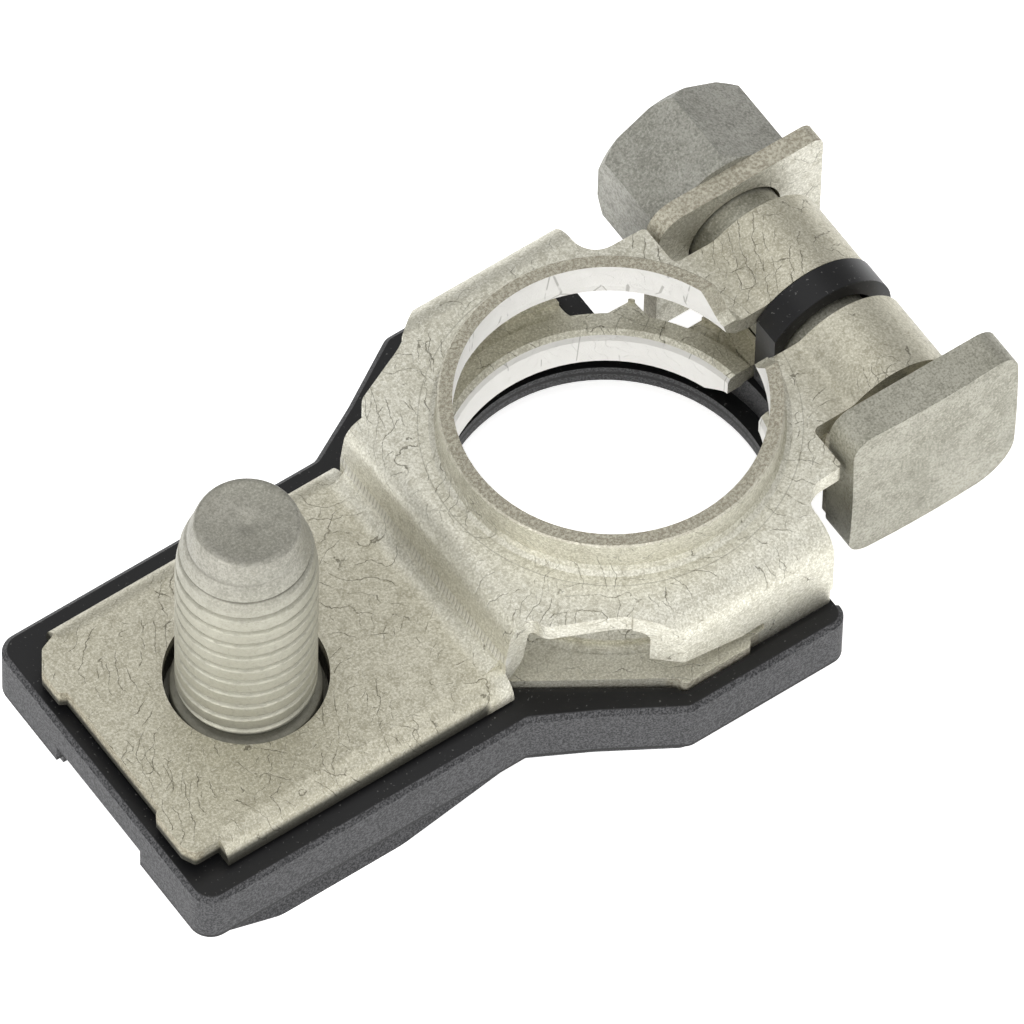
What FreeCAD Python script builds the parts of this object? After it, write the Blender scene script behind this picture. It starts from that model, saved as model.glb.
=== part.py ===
import FreeCAD, Part
import math
import os
import Sketcher

os.makedirs("parts", exist_ok=True)

doc = FreeCAD.newDocument("terminal_clamp")
V = FreeCAD.Vector

# Driving sizes in millimetres. The origin is on the post's axis, halfway up the
# straight wall of the upper collar; +X points to the clamp bolt, +Z is up.
SIZES = [
    ("sheet_t", 1.25),
    ("plate_gap", 4.15),
    ("wall_len", 1.9),
    ("collar_rise", 2.35),
    ("post_r", 8.8),
    ("collar_wall", 0.85),
    ("collar_root", 0.45),
    ("taper_half", 3.1),
    ("taper_low", 0.25),
    ("collar_entry", 1.7),
    ("collar_blend", 10.8),
    ("low_post_r", 9.3),
    ("low_drop", 1.3),
    ("low_entry", 0.5),
    ("coin_r", 11.8),
    ("coin_depth", 0.3),
    ("split_half", 1.5),
    ("split_start", 6.5),
    ("bolt_x", 14.5),
    ("barrel_r", 4.3),
    ("barrel_end", 6.65),
    ("bolt_r", 2.95),
    ("bolt_play", 0.1),
    ("pad_end", 33.3),
    ("pad_lobe", 0.4),
    ("far_corner", 0.45),
    ("lobe_inner", 4.5),
    ("lobe_outer", 7.3),
    ("corner_half", 8.1),
    ("corner_len", 1.6),
    ("pad_half", 8.95),
    ("pad_bend", 1.45),
    ("leg_depth", 1.6),
    ("foot_x", 12.75),
    ("head_x", 12.2),
    ("foot_bend", 1.2),
    ("head_bend", 1.5),
    ("step_half", 8.05),
    ("neck_x", 10.7),
    ("neck_half", 8.95),
    ("knee_x", 6.6),
    ("knee_half", 10.8),
    ("flange_start", 4.1),
    ("flange_end", 6.0),
    ("far_back", 0.8),
    ("flange_half", 13.1),
    ("flange_bend", 2.0),
    ("scallop_half", 9.65),
    ("scallop_r", 1.6),
    ("horn_x", 9.0),
    ("low_half", 7.4),
    ("low_end", 33.0),
    ("low_knee_x", 12.1),
    ("low_knee_half", 8.1),
    ("low_shoulder", 4.3),
    ("tab_half", 13.6),
    ("tab_end", 0.1),
    ("slit_end", 1.5),
    ("slit_high", 1.35),
    ("slit_low", 0.55),
        ("low_scallop_half", 9.1),
    ("low_far_back", 1.7),
    ("low_horn_x", 7.9),
    ("low_horn_half", 5.7),
    ("stud_x", 24.43),
    ("stud_hole_r", 4.65),
    ("stud_r", 3.97),
    ("stud_rise", 15.49),
    ("stud_tip", 4.1),
    ("stud_tip_r", 2.87),
    ("stud_collar_r", 4.5),
    ("stud_sink", 0.85),
    ("stud_neck_r", 3.6),
    ("stud_head_r", 6.2),
    ("stud_head_t", 2.4),
    ("washer_t", 1.2),
    ("washer_half", 5.6),
    ("washer_shift", 0.35),
    ("washer_top", 4.2),
    ("washer_low", 5.85),
    ("head_washer_half", 4.9),
    ("head_washer_top", 3.0),
    ("washer_corner", 1.6),
    ("washer_play", 0.2),
    ("nut_stand", 1.85),
    ("nut_flats", 9.2),
    ("nut_t", 5.6),
    ("nut_cham", 0.55),
    ("nut_play", 0.05),
    ("bolt_short", 0.1),
    ("square_side", 11.2),
    ("square_t", 2.6),
    ("square_dome", 0.4),
    ("square_corner", 1.4),
    ("square_shift", 0.4),
    ("base_end", 34.3),
    ("base_half", 10.4),
    ("base_bend_x", 12.65),
    ("base_knee_x", 9.1),
    ("base_knee_half", 12.3),
    ("base_wide_x", 4.8),
    ("base_wide", 14.9),
    ("base_right", 6.0),
    ("base_corner", 1.3),
    ("base_rim", 0.7),
    ("base_floor_t", 3.45),
    ("base_skirt", 0.35),
    ("base_skirt_in", 0.45),
    ("rim_round", 0.3),
    ("seat_play", 0.15),
    ("base_hole_r", 9.6),
    ("base_lip_t", 0.98),
    ("collar_play", 0.45),
    ("ring_wall", 0.6),
    ("slot_half", 4.1),
    ("slot_len", 3.2),
    ("slot_high", 1.75),
    ("boss_drop", 1.55),
    ("boss_half", 9.9),
    ("boss_from", 33.0),
    ("boss_flat_from", 29.0),
    ("boss_flat_to", 21.0),
    ("boss_to", 12.7),
    ("tongue_far", 1.4),
    ("tongue_near", 0.4),
    ("tongue_r", 4.4),
    ("tongue_hole_r", 3.35),
    ("tongue_back", 3.6),
]

sheet = doc.addObject("Spreadsheet::Sheet", "sizes")
for row, (alias, value) in enumerate(SIZES, start=1):
    sheet.set("A%d" % row, alias)
    sheet.set("B%d" % row, str(value))
    sheet.setAlias("B%d" % row, alias)
doc.recompute()


def expr(text):
    """Every word that is a size becomes a reference to its cell."""
    out = []
    word = ""
    names = [alias for alias, value in SIZES]
    for ch in text + " ":
        if ch.isalnum() or ch == "_":
            word += ch
            continue
        out.append("sizes." + word if word in names else word)
        word = ""
        out.append(ch)
    return "".join(out).strip()


def value_of(text):
    return float(sheet.evalExpression(expr(text)))


# Levels, from the collar's top down to the underside of the lower plate.
RIM = "(wall_len / 2)"
TOP = "(wall_len / 2 - collar_rise)"
TOP_UNDER = "(wall_len / 2 - collar_rise - sheet_t)"
AXIS = "(wall_len / 2 - collar_rise - sheet_t - plate_gap / 2)"
LOW = "(wall_len / 2 - collar_rise - sheet_t - plate_gap)"
LOW_UNDER = "(wall_len / 2 - collar_rise - 2 * sheet_t - plate_gap)"
PAD = "(wall_len / 2 - collar_rise - plate_gap)"
BASE_UNDER = "(wall_len / 2 - collar_rise - 2 * sheet_t - plate_gap - base_floor_t)"
HEIGHT = "(collar_rise + 2 * sheet_t + plate_gap + base_floor_t)"

PLANES = {
    "XY": FreeCAD.Placement(),
    "XZ": FreeCAD.Placement(V(0, 0, 0), FreeCAD.Rotation(V(1, 0, 0), 90)),
    "YZ": FreeCAD.Placement(V(0, 0, 0), FreeCAD.Rotation(V(1, 1, 1), 120)),
}
NORMALS = {"XY": V(0, 0, 1), "XZ": V(0, 1, 0), "YZ": V(1, 0, 0)}


def bind(obj, **fields):
    for field, text in fields.items():
        obj.setExpression(field.replace("__", "."), expr(text))
    return obj


def rounded(points, radii):
    """Tangent points of each corner: (start, end, centre) or the bare corner."""
    out = []
    count = len(points)
    for i in range(count):
        here = points[i]
        if radii[i] <= 0:
            out.append((here, here, None))
            continue
        back = (points[i - 1] - here).normalize()
        ahead = (points[(i + 1) % count] - here).normalize()
        half = back.getAngle(ahead) / 2
        reach = radii[i] / math.tan(half)
        centre = here + (back + ahead).normalize() * (radii[i] / math.sin(half))
        out.append((here + back * reach, here + ahead * reach, centre))
    return out


def outline(name, plane, corners, owner=None):
    """Closed sketch through corners (x, y[, radius]), each bound to the sheet."""
    kind = "Sketcher::SketchObject"
    sketch = owner.newObject(kind, name) if owner else doc.addObject(kind, name)
    sketch.Placement = PLANES[plane]
    points = [V(value_of(c[0]), value_of(c[1]), 0) for c in corners]
    radii = [value_of(c[2]) if len(c) > 2 else 0.0 for c in corners]
    turned = rounded(points, radii)
    count = len(points)
    lines = []
    for i in range(count):
        start = turned[i][1]
        stop = turned[(i + 1) % count][0]
        lines.append(sketch.addGeometry(Part.LineSegment(start, stop), False))
    limits = []
    for i in range(count):
        before = lines[i - 1]
        after = lines[i]
        if turned[i][2] is None:
            limits.append(Sketcher.Constraint("Coincident", before, 2, after, 1))
            limits.append(("DistanceX", after, 1, corners[i][0]))
            limits.append(("DistanceY", after, 1, corners[i][1]))
            continue
        first, last, centre = turned[i]
        side = (first - centre) + (last - centre)
        middle = centre + side.normalize() * radii[i]
        arc = Part.Arc(first, middle, last).toShape().Curve
        low, high = arc_ends(arc, first, last, middle)
        bend = sketch.addGeometry(Part.ArcOfCircle(arc, low, high), False)
        ahead = sketch.getPoint(bend, 1).distanceToPoint(first) < 1e-6
        near, far = (1, 2) if ahead else (2, 1)
        limits.append(Sketcher.Constraint("Tangent", before, 2, bend, near))
        limits.append(Sketcher.Constraint("Tangent", bend, far, after, 1))
        limits.append(("Radius", bend, 0, corners[i][2]))
        mark = sketch.addGeometry(Part.Point(points[i]), True)
        limits.append(Sketcher.Constraint("PointOnObject", mark, 1, before))
        limits.append(Sketcher.Constraint("PointOnObject", mark, 1, after))
        limits.append(("DistanceX", mark, 1, corners[i][0]))
        limits.append(("DistanceY", mark, 1, corners[i][1]))
    for limit in limits:
        if not isinstance(limit, tuple):
            sketch.addConstraint(limit)
            continue
        word, geo, spot, text = limit
        size = value_of(text)
        if word == "Radius":
            index = sketch.addConstraint(Sketcher.Constraint(word, geo, size))
        else:
            index = sketch.addConstraint(Sketcher.Constraint(word, -1, 1, geo, spot, size))
        sketch.setExpression("Constraints[%d]" % index, expr(text))
    return sketch


def arc_ends(circle, first, last, middle):
    """Parameters that run counter-clockwise over the short arc."""
    low = circle.parameter(first)
    high = circle.parameter(last)
    mid = circle.parameter(middle)
    turn = 2 * math.pi
    if (mid - low) % turn > (high - low) % turn:
        low, high = high, low
    if high < low:
        high += turn
    return low, high


def extrusion(name, plane, corners, length, start=None):
    """Outline pushed along its plane's normal; centred where no start is given."""
    sketch = outline(name + "_outline", plane, corners)
    solid = doc.addObject("Part::Extrusion", name)
    solid.Base = sketch
    solid.DirMode = "Custom"
    solid.Dir = NORMALS[plane]
    solid.Solid = True
    bind(solid, LengthFwd=length)
    if start is None:
        solid.Symmetric = True
    else:
        axis = {"XY": "z", "XZ": "y", "YZ": "x"}[plane]
        solid.setExpression("Placement.Base." + axis, expr(start))
    return solid


def revolution(name, corners, x="0", y="0", axis=V(0, 0, 1)):
    """Profile in (radius, height) turned once about Z, then moved."""
    sketch = outline(name + "_profile", "XZ", corners)
    solid = doc.addObject("Part::Revolution", name)
    solid.Source = sketch
    solid.Axis = axis
    solid.Base = V(0, 0, 0)
    solid.Angle = 360
    solid.Solid = True
    solid.setExpression("Placement.Base.x", expr(x))
    solid.setExpression("Placement.Base.y", expr(y))
    return solid


def box(name, x, y, z, length, width, height):
    solid = doc.addObject("Part::Box", name)
    bind(solid, Length=length, Width=width, Height=height)
    bind(solid, Placement__Base__x=x, Placement__Base__y=y, Placement__Base__z=z)
    return solid


def cylinder(name, radius, height, x="0", y="0", z="0"):
    solid = doc.addObject("Part::Cylinder", name)
    bind(solid, Radius=radius, Height=height)
    bind(solid, Placement__Base__x=x, Placement__Base__y=y, Placement__Base__z=z)
    return solid


def cross_cylinder(name, radius, height, x, y, z):
    """Cylinder along +Y from the given point."""
    solid = cylinder(name, radius, height)
    solid.Placement = FreeCAD.Placement(V(0, 0, 0), FreeCAD.Rotation(V(1, 0, 0), -90))
    bind(solid, Placement__Base__x=x, Placement__Base__y=y, Placement__Base__z=z)
    return solid


def fuse(name, pieces):
    solid = doc.addObject("Part::MultiFuse", name)
    solid.Shapes = pieces
    solid.Refine = True
    return solid


def cut(name, base, tool):
    solid = doc.addObject("Part::Cut", name)
    solid.Base = base
    solid.Tool = tool
    return solid


def common(name, first, second):
    solid = doc.addObject("Part::MultiCommon", name)
    solid.Shapes = [first, second]
    return solid


def round_edges(name, base, radius, test, kind="Part::Fillet"):
    """Fillet or chamfer on the edges whose middle passes the test."""
    doc.recompute()
    chosen = []
    size = value_of(radius)
    for number, edge in enumerate(base.Shape.Edges, start=1):
        middle = edge.valueAt((edge.FirstParameter + edge.LastParameter) / 2)
        if test(middle, edge):
            chosen.append((number, size, size))
    if not chosen:
        raise RuntimeError("no edge found for " + name)
    solid = doc.addObject(kind, name)
    solid.Base = base
    solid.Edges = chosen
    return solid


def mirrored(corners, far=None):
    """Corners with y above zero, then the same ones below it, in reverse."""
    below = [(c[0], "-(" + c[1] + ")") + tuple(c[2:]) for c in reversed(corners)]
    return (far or corners) + below


# Terminal sheet: the strip comes up from the pad over a step, carries the upper
# collar, wraps the clamp bolt in two barrels and runs back as the lower plate.
def top_layer():
    lean = "((foot_x - head_x) / plate_gap)"
    across = "(sheet_t * sqrt(1 + " + lean + " ^ 2))"
    profile = [
        ("-pad_end - pad_lobe", PAD),
        ("-foot_x", PAD, "foot_bend"),
        ("-head_x", TOP, "head_bend"),
        ("bolt_x", TOP),
        ("bolt_x", TOP_UNDER),
        ("-head_x + " + across + " - sheet_t * " + lean, TOP_UNDER, "head_bend / 5"),
        ("-foot_x + " + across + " - sheet_t * " + lean, LOW, "foot_bend + sheet_t"),
        ("-pad_end - pad_lobe", LOW),
    ]
    strip = extrusion("top_strip", "XZ", profile, "2 * flange_half")
    near = [
        ("-pad_end", "lobe_inner"),
        ("-pad_end - pad_lobe", "lobe_inner + 0.6 * pad_lobe", "0.2"),
        ("-pad_end - pad_lobe", "lobe_outer", "0.3"),
        ("-pad_end", "corner_half", "0.3"),
        ("-pad_end + corner_len", "corner_half"),
        ("-pad_end + corner_len", "pad_half"),
        ("-foot_x + 0.15", "pad_half"),
        ("-foot_x + 0.15", "step_half"),
        ("-neck_x - 0.2", "step_half", "0.5"),
        ("-neck_x", "neck_half", "1.0"),
        ("-knee_x", "knee_half", "4.0"),
        ("-flange_start", "flange_half", "0.5"),
        ("flange_end", "flange_half"),
        ("flange_end", "scallop_half", "scallop_r"),
        ("horn_x", "scallop_half - 0.1", "0.3"),
        ("horn_x", "barrel_end", "0.4"),
        ("bolt_x", "barrel_end"),
    ]
    far = list(near)
    far[2] = ("-pad_end - pad_lobe", "lobe_outer - 2 * far_corner", "0.3")
    far[3] = ("-pad_end + far_corner", "corner_half - far_corner", "0.5")
    far[12] = ("flange_end - far_back", "flange_half", "0.6")
    far[13] = ("flange_end - far_back", "scallop_half", "scallop_r")
    plan = extrusion("top_plan", "XY", mirrored(near, far), HEIGHT, BASE_UNDER)
    plate = common("top_flat", strip, plan)
    trims = []
    for side, low in (("far", "flange_half - flange_bend"), ("near", "-flange_half - 1")):
        trims.append(box("flange_trim_" + side, "-flange_start - 3", low, LOW_UNDER,
                         "flange_start + flange_end + 4", "flange_bend + 1", HEIGHT))
    for side, low in (("far", "pad_half - pad_bend"), ("near", "-pad_half - 1")):
        trims.append(box("leg_trim_" + side, "-pad_end + corner_len", low, LOW_UNDER,
                         "pad_end - corner_len - foot_x + 0.15", "pad_bend + 1", "plate_gap"))
    plate = cut("top_trimmed", plate, fuse("top_trims", trims))
    return plate


def side_walls():
    """Flanges beside the collar and the shallow legs along the pad."""
    walls = []
    for side, sign in (("far", ""), ("near", "-")):
        stop = "flange_end - far_back" if side == "far" else "flange_end"
        flange = [
            (sign + "(flange_half - flange_bend - 0.3)", TOP),
            (sign + "flange_half", TOP, "flange_bend"),
            (sign + "flange_half", LOW),
            (sign + "(flange_half - sheet_t)", LOW),
            (sign + "(flange_half - sheet_t)", TOP_UNDER, "flange_bend - sheet_t"),
            (sign + "(flange_half - flange_bend - 0.3)", TOP_UNDER),
        ]
        solid = extrusion("flange_" + side, "YZ", flange,
                          "flange_start + flange_end + 2.2", "-flange_start - 2.2")
        bound = [
            ("-flange_start - 2.55", "0"),
            ("-flange_start - 2.55", sign + "(flange_half - 2.2)"),
            ("-flange_start", sign + "flange_half", "0.5"),
            (stop, sign + "flange_half"),
            (stop, "0"),
        ]
        plan = extrusion("flange_plan_" + side, "XY", bound, HEIGHT, BASE_UNDER)
        solid = common("flange_bound_" + side, solid, plan)
        slit = [
            ("-flange_start - 3", LOW + " - 1"),
            ("-flange_start - 3", LOW + " + slit_high + 0.2"),
            ("-flange_start", LOW + " + slit_high"),
            ("-tab_end", LOW + " + slit_low"),
            ("slit_end - 0.2", LOW + " + slit_low + 0.15", "0.2"),
            ("slit_end", LOW + " - 1"),
        ]
        tool = extrusion("slit_" + side, "XZ", slit, "4 * flange_half")
        walls.append(cut("flange_cut_" + side, solid, tool))
        leg = [
            (sign + "(pad_half - pad_bend - 0.3)", PAD),
            (sign + "pad_half", PAD, "pad_bend"),
            (sign + "pad_half", PAD + " - leg_depth"),
            (sign + "(pad_half - sheet_t)", PAD + " - leg_depth"),
            (sign + "(pad_half - sheet_t)", LOW, "pad_bend - sheet_t"),
            (sign + "(pad_half - pad_bend - 0.3)", LOW),
        ]
        walls.append(extrusion("leg_" + side, "YZ", leg,
                               "pad_end - corner_len - foot_x + 0.15",
                               "-pad_end + corner_len"))
    return walls


def low_layer():
    near = [
        ("-low_end", "low_half", "1.0"),
        ("-low_knee_x - 0.7", "low_half"),
        ("-low_knee_x", "low_knee_half", "0.4"),
        ("-low_shoulder - 0.2", "flange_half - 0.1", "0.4"),
        ("-low_shoulder", "tab_half", "0.4"),
        ("tab_end", "tab_half", "0.4"),
        ("tab_end + 0.3", "flange_half", "0.2"),
        ("flange_end", "flange_half", "0.3"),
        ("flange_end - 0.3", "low_scallop_half", "scallop_r"),
        ("low_horn_x", "low_scallop_half - 0.1", "0.3"),
        ("low_horn_x + 0.2", "low_horn_half + 1", "0.6"),
        ("low_horn_x + 1.2", "low_horn_half", "0.6"),
        ("bolt_x", "low_horn_half"),
    ]
    far = list(near)
    far[7] = ("flange_end - low_far_back", "flange_half - 0.6", "0.5")
    far[8] = ("flange_end - low_far_back", "low_scallop_half", "scallop_r")
    return extrusion("low_plate", "XY", mirrored(near, far), "sheet_t", LOW_UNDER)


def collars():
    upper = revolution("upper_collar", [
        ("post_r", RIM),
        ("post_r + collar_wall - 0.1", RIM),
        ("post_r + collar_wall", RIM + " - 0.1"),
        ("post_r + collar_wall", TOP + " + collar_root"),
        ("post_r + collar_wall + 0.3 * collar_root", TOP + " + 0.3 * collar_root"),
        ("post_r + collar_wall + collar_root", TOP),
        ("collar_blend", TOP),
        ("collar_blend", TOP_UNDER),
        ("post_r + collar_entry", TOP_UNDER),
        ("post_r + 0.5 * collar_entry", TOP_UNDER + " + 0.134 * collar_entry"),
        ("post_r + 0.134 * collar_entry", TOP_UNDER + " + 0.5 * collar_entry"),
        ("post_r", TOP_UNDER + " + collar_entry"),
    ])
    lower = revolution("lower_collar", [
        ("low_post_r + low_entry", LOW),
        ("collar_blend", LOW),
        ("collar_blend", LOW_UNDER),
        ("low_post_r + collar_wall + 0.3", LOW_UNDER),
        ("low_post_r + collar_wall", LOW_UNDER + " - 0.3"),
        ("low_post_r + collar_wall", LOW_UNDER + " - low_drop"),
        ("low_post_r", LOW_UNDER + " - low_drop"),
        ("low_post_r", LOW + " - low_entry"),
        ("low_post_r + 0.3 * low_entry", LOW + " - 0.3 * low_entry"),
    ])
    return upper, lower


def collar_tapers():
    """Cutters that bring each collar's rim down to its plate beside the split."""
    upper = extrusion("upper_taper", "YZ", [
        ("-taper_half", RIM + " + 0.01"),
        ("-split_half - 0.2", TOP + " + taper_low", "1.2"),
        ("split_half + 0.2", TOP + " + taper_low", "1.2"),
        ("taper_half", RIM + " + 0.01"),
        ("taper_half", RIM + " + 1"),
        ("-taper_half", RIM + " + 1"),
    ], "bolt_x - barrel_r - split_start + 0.7", "split_start")
    lower = extrusion("lower_taper", "YZ", [
        ("-taper_half", LOW_UNDER + " - low_drop - 0.01"),
        ("-split_half - 0.2", LOW_UNDER + " - taper_low", "0.8"),
        ("split_half + 0.2", LOW_UNDER + " - taper_low", "0.8"),
        ("taper_half", LOW_UNDER + " - low_drop - 0.01"),
        ("taper_half", LOW_UNDER + " - low_drop - 1"),
        ("-taper_half", LOW_UNDER + " - low_drop - 1"),
    ], "bolt_x - barrel_r - split_start + 0.7", "split_start")
    return [upper, lower]


def terminal_sheet():
    upper, lower = collars()
    bore = cylinder("collar_bore", "collar_blend - 0.2", HEIGHT, z=LOW_UNDER + " - 1")
    coin = cylinder("coin", "coin_r", "coin_depth + 0.5", z=LOW + " - coin_depth")
    low = cut("low_coined", low_layer(), coin)
    plates = cut("plates_open", fuse("plates", [top_layer(), low]), bore)
    barrel = cross_cylinder("barrel", "barrel_r", "2 * barrel_end", "bolt_x", "-barrel_end", AXIS)
    inside = box("barrel_inside", "horn_x - 1", "-barrel_end - 1", LOW,
                 "bolt_x - horn_x - bolt_r * 0.6", "2 * barrel_end + 2", "plate_gap")
    ring = cut("barrel_open", barrel, inside)
    whole = fuse("sheet_whole", [plates, ring, upper, lower] + side_walls())

    def crease(middle, edge):
        level = min(abs(middle.z - value_of(TOP)), abs(middle.z - value_of(LOW_UNDER)))
        reach = math.sqrt(value_of("barrel_r ^ 2 - (plate_gap / 2 + sheet_t) ^ 2"))
        line = abs(middle.x - value_of("bolt_x") + reach) < 0.05
        return level < 0.02 and line and edge.Length > 3
    whole = round_edges("sheet_blend", whole, "sheet_t * 0.9", crease)
    tools = [
        box("split", "split_start", "-split_half", LOW_UNDER + " - 5",
            "bolt_x + barrel_r", "2 * split_half", HEIGHT + " + 5"),
        cross_cylinder("bolt_bore", "bolt_r + bolt_play", "4 * barrel_end",
                       "bolt_x", "-2 * barrel_end", AXIS),
        cylinder("stud_hole", "stud_hole_r", "4 * sheet_t", x="-stud_x",
                 z=LOW_UNDER + " - sheet_t"),
    ] + collar_tapers()
    return cut("terminal_sheet", whole, fuse("sheet_tools", tools))


# Threaded stud: a round head caught between the lower plate and the base, a low
# shoulder in the hole and a plain run that tapers to the tip.
def stud():
    tip = PAD + " + stud_rise"
    return revolution("stud", [
        ("0", tip),
        ("stud_tip_r - 0.2", tip),
        ("stud_tip_r + 0.1", tip + " - 0.12"),
        ("stud_r - 0.62", tip + " - 0.16 * stud_tip"),
        ("stud_r - 0.24", tip + " - 0.40 * stud_tip"),
        ("stud_r - 0.06", tip + " - 0.70 * stud_tip"),
        ("stud_r", tip + " - stud_tip"),
        ("stud_r", PAD + " - 0.1"),
        ("stud_neck_r", PAD + " - 0.1"),
        ("stud_neck_r", PAD + " - stud_sink"),
        ("stud_collar_r", PAD + " - stud_sink"),
        ("stud_collar_r", LOW_UNDER),
        ("stud_head_r", LOW_UNDER),
        ("stud_head_r", LOW_UNDER + " - stud_head_t + 0.4"),
        ("stud_head_r - 0.4", LOW_UNDER + " - stud_head_t"),
        ("0", LOW_UNDER + " - stud_head_t"),
    ], x="-stud_x")


WASHER_Y = "(barrel_end + nut_stand)"
NUT_Y = "(barrel_end + nut_stand + washer_t)"
HEAD_Y = "(-barrel_end - washer_t)"


def washer(name, start, half, top):
    left = "bolt_x + washer_shift - " + half
    right = "bolt_x + washer_shift + " + half
    plan = [
        (left, AXIS + " - washer_low", "0.3"),
        (left, AXIS + " + " + top, "washer_corner"),
        (right, AXIS + " + " + top, "washer_corner / 2"),
        (right, AXIS + " - washer_low", "0.3"),
    ]
    blank = extrusion(name + "_blank", "XZ", plan, "washer_t", start)
    hole = cross_cylinder(name + "_hole", "bolt_r + washer_play", "4 * washer_t",
                          "bolt_x", start + " - washer_t", AXIS)
    return cut(name, blank, hole)


def clamp_bolt():
    centre = "bolt_x + square_shift"
    corners = [
        (centre + " - square_side / 2", AXIS + " - square_side / 2", "square_corner"),
        (centre + " - square_side / 2", AXIS + " + square_side / 2", "square_corner"),
        (centre + " + square_side / 2", AXIS + " + square_side / 2", "square_corner"),
        (centre + " + square_side / 2", AXIS + " - square_side / 2", "1.8 * square_corner"),
    ]
    square = extrusion("bolt_square", "XZ", corners, "square_t", HEAD_Y + " - square_t")
    ball = doc.addObject("Part::Sphere", "bolt_ball")
    big = "(square_side ^ 2 / (4 * square_dome))"
    bind(ball, Radius=big)
    bind(ball, Placement__Base__x=centre, Placement__Base__z=AXIS)
    bind(ball, Placement__Base__y=HEAD_Y + " - square_t + " + big)
    shank = cross_cylinder("bolt_shank", "bolt_r",
                           NUT_Y + " + nut_t - bolt_short - " + HEAD_Y + " + square_t / 2",
                           "bolt_x", HEAD_Y + " - square_t / 2", AXIS)
    end = value_of(NUT_Y + " + nut_t - bolt_short")
    shank = round_edges("bolt_end", shank, "0.18 * bolt_r",
                        lambda middle, edge: abs(middle.y - end) < 0.01, "Part::Chamfer")
    return common("clamp_bolt", fuse("bolt_blank", [square, shank]), ball)


def clamp_nut():
    """Hexagon with a corner upwards, turned down at both ends."""
    prism = doc.addObject("Part::Prism", "nut_hexagon")
    prism.Polygon = 6
    turn = FreeCAD.Rotation(V(0, 0, 1), V(1, 0, 0), V(0, 1, 0), "ZXY")
    prism.Placement = FreeCAD.Placement(V(0, 0, 0), turn)
    bind(prism, Circumradius="nut_flats / sqrt(3)", Height="nut_t")
    bind(prism, Placement__Base__x="bolt_x", Placement__Base__y=NUT_Y, Placement__Base__z=AXIS)
    turned = cross_cylinder("nut_turned", "nut_flats / sqrt(3)", "nut_t", "bolt_x", NUT_Y, AXIS)
    turned = round_edges("nut_round", turned, "nut_cham",
                         lambda middle, edge: edge.Length > 4, "Part::Chamfer")
    body = common("nut_body", prism, turned)
    hole = cross_cylinder("nut_hole", "bolt_r + nut_play", "3 * nut_t", "bolt_x",
                          NUT_Y + " - nut_t", AXIS)
    return cut("clamp_nut", body, hole)


# Insulating base: one moulding with a shallow seat for the lower plate, a pocket
# for the stud's head, a lip round the post and the tongue between the ears.
def base_plan(inset):
    less = " - " + inset
    return mirrored([
        ("-base_end + " + inset, "base_half" + less, "base_corner"),
        ("-base_bend_x - " + inset + " * 0.27", "base_half" + less, "0.8"),
        ("-base_knee_x - " + inset + " * 0.27", "base_knee_half" + less, "3.0"),
        ("-base_wide_x - " + inset + " * 0.27", "base_wide" + less, "1.0"),
        ("base_right" + less, "base_wide" + less, "0.8 * base_corner"),
    ])


def seat_plan():
    play = " + seat_play"
    return mirrored([
        ("-low_end - seat_play", "low_half" + play, "0.8"),
        ("-low_knee_x - 0.7", "low_half" + play),
        ("-low_knee_x", "low_knee_half" + play, "0.4"),
        ("-low_shoulder - 0.4", "flange_half" + play, "0.4"),
        ("-low_shoulder - 0.2", "tab_half" + play, "0.4"),
        ("base_right + 1", "tab_half" + play),
    ])


RING_R = "(low_post_r + collar_wall + collar_play + ring_wall)"


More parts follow.
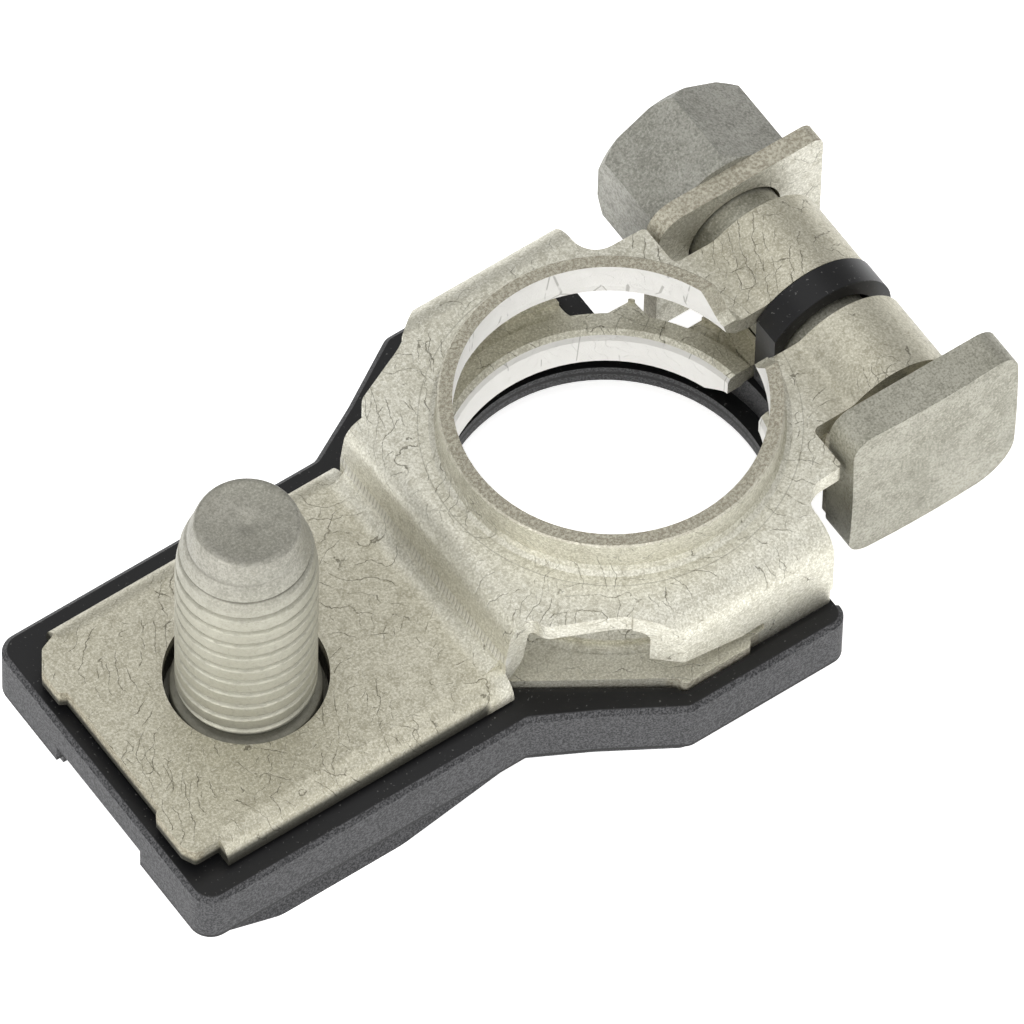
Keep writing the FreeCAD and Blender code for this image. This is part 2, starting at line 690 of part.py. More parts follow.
def insulating_base():
    rise = "base_floor_t + base_rim"
    body = extrusion("base_walls", "XY", base_plan("0"), rise + " - base_skirt",
                     BASE_UNDER + " + base_skirt")
    top = value_of(LOW_UNDER + " + base_rim")

    def rim(middle, edge):
        return abs(middle.z - top) < 0.01
    body = round_edges("base_rim_round", body, "rim_round", rim, "Part::Chamfer")
    skirt = extrusion("base_skirt_plan", "XY", base_plan("base_skirt_in"), "base_skirt + 0.2",
                      BASE_UNDER)
    ring = cylinder("post_ring", RING_R, "base_floor_t", z=BASE_UNDER)
    arm = box("tongue_arm", "base_hole_r", "-tongue_near", BASE_UNDER,
              "bolt_x - base_hole_r", "tongue_near + tongue_far", "base_floor_t * 0.75")
    boss = extrusion("boss", "XZ", [
        ("-boss_from", BASE_UNDER + " + 0.5"),
        ("-boss_from", BASE_UNDER),
        ("-boss_flat_from", BASE_UNDER + " - boss_drop", "2.0"),
        ("-boss_flat_to", BASE_UNDER + " - boss_drop", "4.0"),
        ("-boss_to", BASE_UNDER),
        ("-boss_to", BASE_UNDER + " + 0.5"),
    ], "2 * boss_half")
    body = fuse("base_blank", [body, skirt, ring, arm, boss])
    bend = "bolt_x - tongue_back"
    tongue = extrusion("tongue_plate", "XZ", [
        (bend, BASE_UNDER),
        (bend, AXIS + " + tongue_r + 0.1"),
        ("bolt_x + tongue_r + 0.1", AXIS + " + tongue_r + 0.1"),
        ("bolt_x + tongue_r + 0.1", AXIS + " - tongue_r * 0.6", "0.8"),
        ("bolt_x + 0.5", BASE_UNDER, "0.8"),
    ], "tongue_near + tongue_far", "-tongue_near")
    bound = cross_cylinder("tongue_turned", "tongue_r", "4 * tongue_far", "bolt_x",
                           "-2 * tongue_far", AXIS)
    stem = box("tongue_stem", bend, "-2 * tongue_far", BASE_UNDER, "tongue_back + 0.5",
               "4 * tongue_far", "base_floor_t + 1.2 + plate_gap / 2")
    tongue = common("tongue", tongue, fuse("tongue_bound", [bound, stem]))
    tools = [
        extrusion("seat", "XY", seat_plan(), "base_rim + 1", LOW_UNDER),
        cylinder("post_clear", "low_post_r + collar_wall + collar_play", HEIGHT,
                 z=BASE_UNDER + " + base_lip_t"),
        cylinder("post_hole", "base_hole_r", HEIGHT, z=BASE_UNDER + " - 2"),
        cylinder("head_pocket", "stud_head_r + 0.1", "stud_head_t + 0.05 + 1", x="-stud_x",
                 z=LOW_UNDER + " - stud_head_t - 0.05"),
        cross_cylinder("tongue_hole", "tongue_hole_r", "4 * tongue_far", "bolt_x",
                       "-2 * tongue_far", AXIS),
        box("end_slot", "-base_end - 1", "-slot_half", BASE_UNDER + " - 3",
            "slot_len + 1", "2 * slot_half", "3 + slot_high"),
    ]
    body = fuse("base_full", [body, tongue])
    return cut("insulating_base", body, fuse("base_tools", tools))


def check(parts):
    for obj in doc.Objects:
        bad = [word for word in obj.State if word in ("Invalid", "Error")]
        if bad:
            raise RuntimeError(obj.Name + " failed: " + ", ".join(bad))
    for node, obj in parts.items():
        shape = obj.Shape
        if shape.isNull() or not shape.isValid():
            raise RuntimeError(node + " has no valid shape")
        if len(shape.Solids) != 1:
            raise RuntimeError(node + " has %d solids" % len(shape.Solids))


PARTS = {
    "terminal_sheet": terminal_sheet(),
    "terminal_stud": stud(),
    "clamp_bolt": clamp_bolt(),
    "head_washer": washer("head_washer", "-barrel_end - washer_t",
                          "head_washer_half", "head_washer_top"),
    "nut_washer": washer("nut_washer", WASHER_Y, "washer_half", "washer_top"),
    "clamp_nut": clamp_nut(),
    "insulating_base": insulating_base(),
}
doc.recompute()
for node, obj in PARTS.items():
    obj.Label = node
check(PARTS)
for node, obj in PARTS.items():
    obj.Shape.exportStep("parts/" + node + ".step")
    print(node, round(obj.Shape.Volume, 2), len(obj.Shape.Solids))
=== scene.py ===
import math

import bmesh
import bpy
from mathutils import Matrix, Vector


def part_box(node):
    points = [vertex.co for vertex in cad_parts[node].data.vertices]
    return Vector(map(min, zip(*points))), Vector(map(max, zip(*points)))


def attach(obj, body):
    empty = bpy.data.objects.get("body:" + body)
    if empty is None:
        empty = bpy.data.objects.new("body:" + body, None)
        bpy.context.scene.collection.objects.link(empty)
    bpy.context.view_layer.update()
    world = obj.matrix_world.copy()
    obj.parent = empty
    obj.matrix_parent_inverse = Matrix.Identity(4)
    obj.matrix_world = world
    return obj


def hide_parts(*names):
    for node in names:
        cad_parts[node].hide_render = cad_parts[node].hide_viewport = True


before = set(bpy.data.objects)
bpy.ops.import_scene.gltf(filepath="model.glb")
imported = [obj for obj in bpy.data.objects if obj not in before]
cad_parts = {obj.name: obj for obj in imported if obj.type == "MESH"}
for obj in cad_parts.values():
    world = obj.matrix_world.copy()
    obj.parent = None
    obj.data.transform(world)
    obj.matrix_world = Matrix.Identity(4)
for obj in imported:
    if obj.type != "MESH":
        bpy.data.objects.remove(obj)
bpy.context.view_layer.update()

MM = 0.001
ONE_TURN = 2 * math.pi

# Heights of the sheet's faces in mm: top plate, stud's pad, lower plate and its underside.
TOP, PAD, LOW, LOW_UNDER = -1.40, -5.55, -6.80, -8.05
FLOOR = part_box("insulating_base")[0][2]

# The camera is a very long lens from far away, as it was fitted to the photograph.
FRAME_PX, FOCAL_PX, SENSOR = 1024.0, 20000.0, 36.0
EYE = (-0.3589525, -0.4822321, 0.9289007)
RIGHT = Vector((0.821099, -0.570584, 0.015188))
DOWN = Vector((-0.474045, -0.696513, -0.538657))
AHEAD = Vector((0.317927, 0.435091, -0.842388))

# The studio: name, place and size in m, and power in W of each light. All face the origin.
LIGHTS = (
    ("key_front", (-0.15, -0.6, 0.35), (0.5, 0.4), 2.0),
    ("side_left", (-0.6, -0.1, 0.3), (0.4, 0.4), 2.2),
    ("overhead", (0.0, 0.05, 0.7), (0.7, 0.7), 1.7),
)
WORLD_LIGHT = 0.5
FLOOR_SIZE, FLOOR_GAP, FLOOR_GLOW = 6.0, 0.00002, 0.75

# Base, dark and light colour of each metal.
SHEET = (0.60, 0.582, 0.485), (0.40, 0.38, 0.30), (0.66, 0.645, 0.555)
WASHER = (0.58, 0.565, 0.48), (0.38, 0.36, 0.28), (0.64, 0.625, 0.55)
STUD = (0.28, 0.275, 0.232), (0.18, 0.175, 0.145), (0.34, 0.33, 0.285)
BOLT = (0.285, 0.278, 0.225), (0.15, 0.146, 0.112), (0.39, 0.38, 0.32)
NUT = (0.285, 0.283, 0.245), (0.13, 0.128, 0.108), (0.365, 0.36, 0.32)

# Marks on the tin, and colours for the painted shade, painted reflection and painted highlight on it.
TIN_SPECKS, TIN_DIRT = (0.86, 0.845, 0.76), (0.17, 0.16, 0.12)
SHEARED_DARK, SHEARED_LIGHT = (0.30, 0.27, 0.205), (0.57, 0.545, 0.445)
BORE_WALL_PAINTED_REFLECTION, BORE_CRACK = (0.80, 0.79, 0.76), (0.25, 0.24, 0.21)
IN_SHADOW, PAINTED_SHADE_TINT = (0.03, 0.03, 0.025), (0.80, 0.785, 0.74)
FOOT_LINE = (0.20, 0.19, 0.15)
TEETH_PAINTED_HIGHLIGHT, TEETH_PAINTED_SHADE = (0.80, 0.79, 0.74), (0.30, 0.29, 0.25)
TEETH_STEP = 0.00030

# Sets of scratches: turn in rad, spacing in m, thickness as a share of the spacing, waviness
# in m, offset of the pattern, and the level of noise from which a patch has them.
SCRATCHES = (
    (0.9, 0.0009, 0.030, 0.006, (0.0, 0.0, 0.0), 0.44),
    (2.3, 0.0012, 0.024, 0.004, (0.2, 0.1, 0.3), 0.42),
    (0.5, 0.0007, 0.036, 0.003, (0.5, 0.7, 0.1), 0.47),
)

# Marks and painted shade on the stud, and colours of the base.
THREAD_LIGHT, THREAD_GREY, THREAD_ROOT_PAINTED_SHADE = (0.44, 0.43, 0.35), (0.26, 0.25, 0.205), (0.09, 0.085, 0.065)
PLASTIC, DUST = (0.006, 0.006, 0.0065), (0.12, 0.12, 0.115)
GRAINED_DARK, GRAINED_LIGHT = (0.016, 0.016, 0.017), (0.078, 0.078, 0.081)
SEAM = (0.008, 0.008, 0.008)

# The stud's thread: pitch in mm, start as a share of a turn, and the groove's width as a share
# of the pitch, its depth in mm, and the heights over which it fades in and out.
STUD_X, PITCH, THREAD_START = -24.43, 1.25, 0.36
GROOVE_WIDTH, GROOVE_DEPTH, FADE_IN, FADE_OUT = 0.36, 0.40, 0.4, 3.0
STUD_AROUND, STUD_LEVELS = 96, 250

# The stud's outline in mm: head and neck and tip as radius and height, shank as height and radius.
STUD_FOOT = ((0.0, -10.44), (5.9, -10.44), (6.19, -10.2), (6.19, -8.07), (4.27, -8.07),
             (4.27, -6.42), (4.2, -6.36), (3.62, -6.30), (3.70, PAD - 0.1))
SHANK = ((PAD, 3.96), (5.0, 3.96), (5.9, 3.9), (7.1, 3.74), (7.9, 3.5), (8.5, 3.28), (8.9, 3.2))
STUD_TIP = ((3.12, 9.2), (3.02, 9.55), (2.95, 9.76), (2.86, 9.89), (2.70, 9.935), (2.45, 9.90),
            (2.2, 9.85), (1.2, 9.82), (0.5, 9.80), (0.25, 9.70), (0.0, 9.68))

# Small shifts of the base's points: name, axis, mm, and the Y and Z in mm between which they lie.
ANY = 99.0
NUDGES = (
    ("deeper_wall", "Z", -0.3, (-ANY, ANY), (-11.6, -11.3)),
    ("boss_near", "Y", -0.35, (-9.95, -9.85), (-ANY, -11.9)),
    ("boss_far", "Y", 0.35, (9.85, 9.95), (-ANY, -11.9)),
)

SHARP_SOLID, SHARP_STUD = 46.0, 50.0


def mm(*lengths):
    return tuple(v * MM for v in lengths)


def add_camera():
    data = bpy.data.cameras.new("camera")
    data.sensor_width = SENSOR
    data.lens = FOCAL_PX * SENSOR / FRAME_PX
    data.clip_start = 0.05
    data.clip_end = 20.0
    cam = bpy.data.objects.new("camera", data)
    bpy.context.scene.collection.objects.link(cam)
    turn = Matrix((RIGHT, -DOWN, -AHEAD)).transposed().to_4x4()
    cam.matrix_world = Matrix.Translation(Vector(EYE)) @ turn
    bpy.context.scene.camera = cam


class Graph:
    """A node material round one shader, with short calls for the nodes it is made of."""

    def __init__(self, name):
        self.mat = bpy.data.materials.new(name)
        self.mat.use_nodes = True
        self.nodes = self.mat.node_tree.nodes
        self.links = self.mat.node_tree.links
        self.nodes.clear()
        out = self.nodes.new("ShaderNodeOutputMaterial")
        self.shader = self.nodes.new("ShaderNodeBsdfPrincipled")
        self.links.new(self.shader.outputs[0], out.inputs["Surface"])
        self.place = self.nodes.new("ShaderNodeTexCoord").outputs["Object"]
        self.geometry = self.nodes.new("ShaderNodeNewGeometry")

    def put(self, socket, value):
        if hasattr(value, "is_linked"):
            self.links.new(value, socket)
        else:
            socket.default_value = value

    def math(self, word, a, b=0.0, clamp=False):
        node = self.nodes.new("ShaderNodeMath")
        node.operation = word
        node.use_clamp = clamp
        for socket, value in zip(node.inputs, (a, b)):
            self.put(socket, value)
        return node.outputs[0]

    def plus(self, a, b):
        return self.math("ADD", a, b)

    def minus(self, a, b):
        return self.math("SUBTRACT", a, b)

    def times(self, a, b):
        return self.math("MULTIPLY", a, b)

    def most(self, a, b, clamp=False):
        return self.math("MAXIMUM", a, b, clamp)

    def size(self, a):
        return self.math("ABSOLUTE", a)

    def radius(self, x, y):
        return self.math("SQRT", self.plus(self.math("POWER", x, 2.0), self.math("POWER", y, 2.0)))

    def mapped(self, scale=(1, 1, 1), turn=(0, 0, 0), move=(0, 0, 0)):
        node = self.nodes.new("ShaderNodeMapping")
        self.put(node.inputs["Vector"], self.place)
        node.inputs["Scale"].default_value = scale
        node.inputs["Rotation"].default_value = turn
        node.inputs["Location"].default_value = move
        return node.outputs[0]

    def noise(self, scale, detail=3.0, rough=0.5, where=None):
        """Noise with scale in cells per metre."""
        node = self.nodes.new("ShaderNodeTexNoise")
        self.put(node.inputs["Vector"], where or self.place)
        node.inputs["Scale"].default_value = scale
        node.inputs["Detail"].default_value = detail
        node.inputs["Roughness"].default_value = rough
        return node.outputs["Fac"]

    def step(self, value, low, high, a=0.0, b=1.0):
        """Smooth ramp from a to b while value runs from low to high."""
        node = self.nodes.new("ShaderNodeMapRange")
        node.interpolation_type = "SMOOTHSTEP"
        self.put(node.inputs["Value"], value)
        node.inputs["From Min"].default_value = low
        node.inputs["From Max"].default_value = high
        node.inputs["To Min"].default_value = a
        node.inputs["To Max"].default_value = b
        return node.outputs[0]

    def below(self, value, low, high):
        """1 below low and 0 above high."""
        return self.step(value, low, high, 1.0, 0.0)

    def band(self, value, low, high, soft):
        """1 between low and high, with edges that are soft to either side."""
        up = self.step(value, low - soft, low + soft)
        down = self.below(value, high - soft, high + soft)
        return self.times(up, down)

    def split(self, vector):
        node = self.nodes.new("ShaderNodeSeparateXYZ")
        self.put(node.inputs[0], vector)
        return node.outputs[0], node.outputs[1], node.outputs[2]

    def axes(self):
        return self.split(self.place)

    def normal(self):
        return self.split(self.geometry.outputs["True Normal"])

    def mix(self, amount, a, b, blend="MIX"):
        node = self.nodes.new("ShaderNodeMix")
        node.data_type = "RGBA"
        node.blend_type = blend
        self.put(node.inputs[0], amount)
        for socket, value in ((node.inputs[6], a), (node.inputs[7], b)):
            self.put(socket, tuple(value) + (1.0,) if isinstance(value, tuple) else value)
        return node.outputs[2]

    def bump(self, height, depth, strength):
        node = self.nodes.new("ShaderNodeBump")
        node.inputs["Strength"].default_value = strength
        node.inputs["Distance"].default_value = depth
        self.put(node.inputs["Height"], height)
        return node.outputs[0]

    def finish(self, colour, metallic, rough, normal=None):
        self.put(self.shader.inputs["Base Color"], colour)
        self.put(self.shader.inputs["Metallic"], metallic)
        self.put(self.shader.inputs["Roughness"], rough)
        if normal is not None:
            self.put(self.shader.inputs["Normal"], normal)
        return self.mat


def scratches(g, turn, spacing, thick, wave, seed, patch):
    """Hair-thin marks: warped, nearly parallel lines, broken into strokes and kept in patches."""
    moved = g.mapped(move=seed)
    x, y, z = g.split(g.mapped((1, 1, 1), (0, 0, turn), seed))
    warp = g.times(g.noise(260.0, 2.0, 0.5, moved), wave)
    small = g.times(g.noise(1300.0, 3.0, 0.6), 0.0006)
    along = g.plus(g.plus(x, warp), g.plus(small, g.times(z, 0.8)))
    share = g.math("FRACT", g.math("DIVIDE", along, spacing))
    line = g.below(g.size(g.minus(share, 0.5)), thick * 0.35, thick)
    strokes = g.mapped((500.0, 220.0, 500.0), (0, 0, turn), seed)
    broken = g.step(g.noise(1.0, 3.0, 0.7, strokes), 0.49, 0.56)
    gate = g.step(g.noise(130.0, 3.0, 0.6, moved), patch, patch + 0.07)
    return g.times(g.times(line, broken), gate)


def tin(name, colours, edge_mask):
    """Tinned metal: clouds, grain, stains, scratches and pits, with bare sheared edges."""
    g = Graph(name)
    base, dark, light = colours
    cloud = g.noise(60.0, 3.0, 0.6)
    fine = g.noise(1500.0, 4.0, 0.75)
    grain = g.noise(7500.0, 2.0, 0.7)
    colour = g.mix(g.step(cloud, 0.35, 0.68), base, light)
    colour = g.mix(g.step(fine, 0.46, 0.66, 0.0, 0.5), colour, dark)
    colour = g.mix(g.step(grain, 0.50, 0.66, 0.0, 0.55), colour, dark)
    colour = g.mix(g.step(grain, 0.50, 0.36, 0.0, 0.6), colour, TIN_SPECKS)
    stained = g.noise(240.0, 6.0, 0.75, g.mapped((1, 1, 1), (0, 0, 0.6), (3, 1, 2)))
    stain = g.step(stained, 0.56, 0.70)
    colour = g.mix(g.times(stain, 0.35), colour, dark)
    marks = scratches(g, *SCRATCHES[0])
    for row in SCRATCHES[1:]:
        marks = g.most(marks, scratches(g, *row))
    pits = g.times(g.step(g.noise(4200.0, 3.0, 0.7), 0.62, 0.68), g.step(stain, 0.0, 1.0, 0.35, 1.0))
    dirt = g.most(g.times(marks, 0.78), g.times(pits, 0.6))
    colour = g.mix(dirt, colour, TIN_DIRT)
    edge = edge_mask(g)
    dots = g.step(g.noise(5200.0, 4.0, 0.8), 0.40, 0.60)
    colour = g.mix(g.times(edge, 0.9), colour, g.mix(dots, SHEARED_DARK, SHEARED_LIGHT))
    rough = g.plus(g.step(fine, 0.3, 0.7, 0.40, 0.52), g.times(edge, 0.15))
    height = g.plus(g.times(fine, 0.6), g.times(grain, 0.6))
    height = g.minus(height, g.times(marks, 0.8))
    height = g.plus(height, g.times(g.times(dots, edge), 0.6))
    return g, colour, rough, height


def sheet_edges(g):
    """The sheared faces: the upper collar's rim, the lower plate's outline and the pad's end."""
    x, y, z = g.axes()
    up = g.normal()[2]
    radius = g.radius(x, y)
    rim = g.times(g.step(z, *mm(-0.6, -0.5)), g.step(up, 0.3, 0.5))
    rim = g.times(rim, g.below(radius, *mm(10.2, 10.3)))
    rim = g.times(rim, g.most(g.step(up, 0.80, 0.95), 0.6))
    outline = g.times(g.band(z, *mm(LOW_UNDER + 0.02, LOW - 0.02, 0.02)), g.band(x, *mm(-5.0, 1.0, 0.2)))
    outline = g.times(outline, g.step(radius, *mm(10.9, 11.0)))
    pad_end = g.times(g.band(z, *mm(LOW, PAD, 0.02)), g.below(x, *mm(-32.9, -32.6)))
    upright = g.below(g.size(up), 0.12, 0.25)
    return g.most(rim, g.times(g.most(outline, pad_end), upright), clamp=True)


def washer_edges(g):
    """All faces of a backing plate but the two large ones."""
    return g.below(g.size(g.normal()[1]), 0.2, 0.4)


def bore_walls(g, x, y, radius):
    """The collars' inner walls, smooth and coloured near white as a painted reflection, and their
    upright hairline cracks.
    """
    nx, ny, nz = g.normal()
    outward = g.math("DIVIDE", g.plus(g.times(nx, x), g.times(ny, y)), radius)
    wall = g.times(g.below(radius, *mm(9.5, 9.7)), g.below(outward, -0.9, -0.6))
    cells = g.nodes.new("ShaderNodeTexVoronoi")
    cells.feature = "DISTANCE_TO_EDGE"
    cells.inputs["Scale"].default_value = 420.0
    g.put(cells.inputs["Vector"], g.mapped((1.0, 1.0, 0.12), (0.03, 0.02, 0)))
    crack = g.below(cells.outputs["Distance"], 0.006, 0.016)
    crack = g.times(crack, g.step(g.noise(500.0, 2.0), 0.48, 0.54))
    return wall, g.times(wall, crack)


def sheet_material():
    g, colour, rough, height = tin("tinned_sheet_look", SHEET, sheet_edges)
    x, y, z = g.axes()
    radius = g.radius(x, y)
    wall, crack = bore_walls(g, x, y, radius)
    # Painted reflection: the collars' inner walls are coloured near white.
    colour = g.mix(wall, colour, BORE_WALL_PAINTED_REFLECTION)
    colour = g.mix(g.times(crack, 0.55), colour, BORE_CRACK)
    # The pad's edge is in shadow where it dips into the base.
    low = g.times(g.below(z, *mm(PAD - 1.0, PAD - 0.55)), g.below(x, *mm(-14.5, -14.0)))
    colour = g.mix(g.times(low, 0.92), colour, IN_SHADOW)
    # Painted shade: the pad and the barrels are darkened in colour and look duller than the rest.
    # The tint below is painted shade on the pad and on the barrels.
    painted_shade_mask = g.times(g.below(x, *mm(-14.0, -13.0)), g.below(z, *mm(-5.4, -4.9)))
    painted_shade_mask = g.most(painted_shade_mask, g.step(x, *mm(8.5, 11.0)))
    colour = g.mix(1.0, colour, g.mix(painted_shade_mask, (1.0, 1.0, 1.0), PAINTED_SHADE_TINT), "MULTIPLY")
    # A hairline runs round the foot of the upper collar.
    ring = g.times(g.band(radius, *mm(10.66, 10.72, 0.03)), g.step(z, *mm(TOP - 0.1, TOP - 0.05)))
    colour = g.mix(g.times(ring, 0.45), colour, FOOT_LINE)
    # The press left a row of fine teeth along the foot of the step. Their band gets a painted highlight,
    # and their grooves get painted shade.
    row = g.times(g.band(x, *mm(-13.3, -12.3, 0.1)), g.band(z, *mm(-4.85, -4.2, 0.08)))
    patchy = g.noise(400.0, 2.0, 0.5, g.mapped(move=(1, 4, 0)))
    row = g.times(row, g.step(patchy, 0.30, 0.55, 0.35, 1.0))
    wobble = g.times(g.noise(450.0, 1.0), 0.00015)
    teeth = g.math("SINE", g.times(g.plus(y, wobble), ONE_TURN / TEETH_STEP))
    groove = g.times(g.step(teeth, 0.2, 0.9), row)
    # Painted highlight on the band of teeth, then painted shade in their grooves.
    colour = g.mix(g.times(row, 0.45), colour, TEETH_PAINTED_HIGHLIGHT)
    colour = g.mix(g.times(groove, 0.45), colour, TEETH_PAINTED_SHADE)
    height = g.minus(height, groove)
    return g.finish(colour, 0.7, rough, g.bump(height, 0.00004, 0.8))


def washer_material():
    g, colour, rough, height = tin("washer_look", WASHER, washer_edges)
    return g.finish(colour, 0.7, rough, g.bump(height, 0.00002, 0.5))


def zinc(name, colours):
    """Dull plated steel with blotches and grain."""
    g = Graph(name)
    base, dark, light = colours
    bright = tuple(1.2 * c for c in light)
    cloud = g.noise(200.0, 5.0, 0.65)
    fine = g.noise(1700.0, 4.0, 0.75)
    grain = g.noise(7000.0, 2.0, 0.7)
    colour = g.mix(g.step(cloud, 0.35, 0.65), base, light)
    blotched = g.noise(420.0, 5.0, 0.7, g.mapped((1, 1, 1), (0, 0, 0.4), (2, 5, 1)))
    colour = g.mix(g.times(g.step(blotched, 0.50, 0.64), 0.22), colour, dark)
    colour = g.mix(g.step(fine, 0.48, 0.66, 0.0, 0.32), colour, dark)
    colour = g.mix(g.step(grain, 0.50, 0.66, 0.0, 0.55), colour, dark)
    colour = g.mix(g.step(grain, 0.48, 0.34, 0.0, 0.6), colour, bright)
    height = g.plus(g.times(fine, 0.5), g.times(grain, 0.5))
    return g, colour, g.step(fine, 0.3, 0.7, 0.44, 0.58), height


def zinc_material(name, colours):
    g, colour, rough, height = zinc(name, colours)
    return g.finish(colour, 0.65, rough, g.bump(height, 0.00004, 0.8))


def stud_material():
    """Dark tip, light thread, and painted shade: a dark line in the bottom of each groove and a darker
    foot below the pad.
    """
    g, colour, rough, height = zinc("stud_look", STUD)
    x, y, z = g.axes()
    turn = g.math("ARCTAN2", y, g.plus(x, -STUD_X * MM))
    turns_up = g.plus(g.math("DIVIDE", z, PITCH * MM), THREAD_START)
    phase = g.minus(turns_up, g.math("DIVIDE", turn, ONE_TURN))
    # Painted shade: a dark line along the thread's groove, and a darker foot where the stud enters the
    # hole.
    root_shade = g.times(g.band(g.math("FRACT", phase), 0.44, 0.55, 0.03), g.band(z, *mm(-5.3, 8.3, 0.6)))
    colour = g.mix(g.times(g.below(z, *mm(4.2, 9.0)), 0.7), colour, THREAD_LIGHT)
    colour = g.mix(g.step(g.noise(3000.0, 4.0, 0.8), 0.5, 0.66, 0.0, 0.4), colour, THREAD_GREY)
    foot_shade = g.step(z, *mm(-5.9, -5.5), 0.6, 0.0)
    colour = g.mix(g.times(g.most(root_shade, foot_shade), 0.75), colour, THREAD_ROOT_PAINTED_SHADE)
    return g.finish(colour, 0.6, rough, g.bump(height, 0.00004, 0.7))


def plastic_material():
    """Smooth black above with a little dust, and grained grey on the outside below the rim."""
    g = Graph("base_plastic_look")
    steep = g.size(g.normal()[2])
    z = g.axes()[2]
    grained = g.times(g.below(steep, 0.75, 0.9), g.below(z, *mm(-7.40, -7.36)))
    grain = g.noise(8500.0, 2.0, 0.7)
    colour = g.mix(g.step(g.noise(4500.0, 2.0, 0.6), 0.66, 0.72, 0.0, 0.6), PLASTIC, DUST)
    colour = g.mix(grained, colour, g.mix(g.step(grain, 0.38, 0.64), GRAINED_DARK, GRAINED_LIGHT))
    # The mould's parting line runs along the foot of the wall.
    seam = g.times(g.below(steep, 0.1, 0.3), g.band(z, *mm(-11.2, -10.93, 0.02)))
    colour = g.mix(g.times(seam, 0.9), colour, SEAM)
    rough = g.plus(g.times(grained, 0.22), 0.38)
    g.shader.inputs["Specular IOR Level"].default_value = 0.3
    height = g.times(grain, g.plus(g.times(grained, 0.8), 0.2))
    return g.finish(colour, 0.0, rough, g.bump(height, 0.00003, 0.5))


def floor_material():
    g = Graph("floor_look")
    g.put(g.shader.inputs["Emission Color"], (1.0, 1.0, 1.0, 1.0))
    g.shader.inputs["Emission Strength"].default_value = FLOOR_GLOW
    return g.finish((0.9, 0.9, 0.9, 1.0), 0.0, 0.9)


def dress(node, material):
    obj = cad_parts[node]
    if not obj.data.materials:
        obj.data.materials.append(material)
    for i in range(len(obj.data.materials)):
        obj.data.materials[i] = material
    return obj


def smooth(obj):
    """Shade a solid smooth except at its sharp edges."""
    obj.data.shade_smooth()
    obj.data.set_sharp_from_angle(angle=math.radians(SHARP_SOLID))
    even = obj.modifiers.new("even_normals", "WEIGHTED_NORMAL")
    even.keep_sharp = True


def nudge(obj, name, axis, amount, y_range, z_range):
    """Shift some points of a solid a little, by a modifier."""
    points = [v.index for v in obj.data.vertices
              if y_range[0] < v.co.y / MM < y_range[1] and z_range[0] < v.co.z / MM < z_range[1]]
    obj.vertex_groups.new(name=name).add(points, 1.0, "REPLACE")
    shift = obj.modifiers.new(name, "DISPLACE")
    shift.direction = axis
    shift.mid_level = 0.0
    shift.strength = amount * MM
    shift.vertex_group = name


def shank_radius(z):
    for (low, r0), (high, r1) in zip(SHANK, SHANK[1:]):
        if z <= high:
            return r0 + (r1 - r0) * (z - low) / (high - low)
    return SHANK[-1][1]


def groove_depth(z, share):
    """Depth of the thread's groove at a height and a share of a turn, zero off the shank."""
    low, high = SHANK[0][0], SHANK[-1][0]
    if not low <= z <= high:
        return 0.0
    phase = (z / PITCH + THREAD_START - share) % 1.0
    shape = max(0.0, 1.0 - abs(phase - 0.5) / (GROOVE_WIDTH / 2))
    fade = min(1.0, (z - low) / FADE_IN) * min(1.0, (high - z) / FADE_OUT)
    return GROOVE_DEPTH * fade * shape


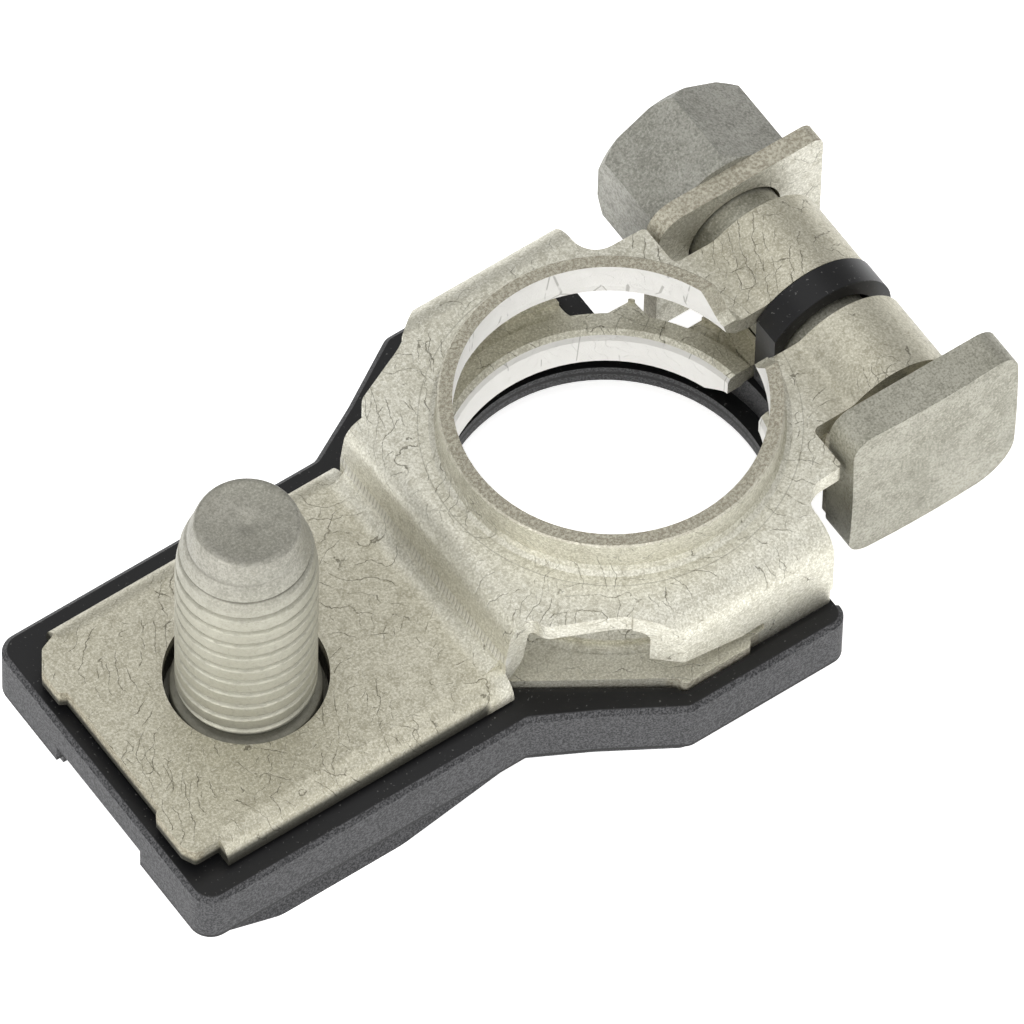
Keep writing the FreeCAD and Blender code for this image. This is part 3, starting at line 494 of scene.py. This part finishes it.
def stud_mesh():
    """One closed skin of rings, each of which follows the helical groove at its own height."""
    low, high = SHANK[0][0], SHANK[-1][0]
    levels = [low + (high - low) * i / STUD_LEVELS for i in range(STUD_LEVELS + 1)]
    rows = [*STUD_FOOT, *((shank_radius(z), z) for z in levels), *STUD_TIP]
    verts, faces = [], []
    for r, z in rows:
        for k in range(STUD_AROUND):
            a = ONE_TURN * k / STUD_AROUND
            radius = r - groove_depth(z, k / STUD_AROUND)
            verts.append(Vector((STUD_X + radius * math.cos(a), radius * math.sin(a), z)) * MM)
    for j in range(len(rows) - 1):
        here, above = j * STUD_AROUND, (j + 1) * STUD_AROUND
        for k in range(STUD_AROUND):
            m = (k + 1) % STUD_AROUND
            faces.append((here + k, here + m, above + m, above + k))
    mesh = bpy.data.meshes.new("stud_threaded")
    mesh.from_pydata(verts, [], faces)
    mesh.validate()
    bm = bmesh.new()
    bm.from_mesh(mesh)
    bmesh.ops.remove_doubles(bm, verts=bm.verts, dist=1e-7)
    bmesh.ops.recalc_face_normals(bm, faces=bm.faces)
    bm.to_mesh(mesh)
    bm.free()
    mesh.shade_smooth()
    mesh.set_sharp_from_angle(angle=math.radians(SHARP_STUD))
    return mesh


def threaded_stud(material):
    mesh = stud_mesh()
    mesh.materials.append(material)
    obj = bpy.data.objects.new("stud_threaded", mesh)
    bpy.context.scene.collection.objects.link(obj)
    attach(obj, "clamp")
    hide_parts("terminal_stud")


def add_light(name, place, size, power):
    data = bpy.data.lights.new(name, "AREA")
    data.shape = "RECTANGLE"
    data.size, data.size_y = size
    data.energy = power
    obj = bpy.data.objects.new(name, data)
    bpy.context.scene.collection.objects.link(obj)
    obj.location = place
    obj.rotation_euler = (-Vector(place)).to_track_quat("-Z", "Y").to_euler()


def studio():
    world = bpy.data.worlds.new("studio")
    bpy.context.scene.world = world
    world.use_nodes = True
    background = world.node_tree.nodes["Background"]
    background.inputs[0].default_value = (1, 1, 1, 1)
    background.inputs[1].default_value = WORLD_LIGHT
    bpy.context.scene.view_settings.view_transform = "Standard"
    for row in LIGHTS:
        add_light(*row)
    bpy.ops.mesh.primitive_plane_add(size=FLOOR_SIZE, location=(0, 0, FLOOR - FLOOR_GAP))
    floor = bpy.context.object
    floor.name = "floor"
    floor.data.materials.append(floor_material())


add_camera()
studio()
smooth(dress("terminal_sheet", sheet_material()))
smooth(dress("clamp_bolt", zinc_material("bolt_look", BOLT)))
smooth(dress("clamp_nut", zinc_material("nut_look", NUT)))
washer_look = washer_material()
smooth(dress("head_washer", washer_look))
smooth(dress("nut_washer", washer_look))
base = dress("insulating_base", plastic_material())
for row in NUDGES:
    nudge(base, *row)
smooth(base)
stud_look = stud_material()
dress("terminal_stud", stud_look)
threaded_stud(stud_look)
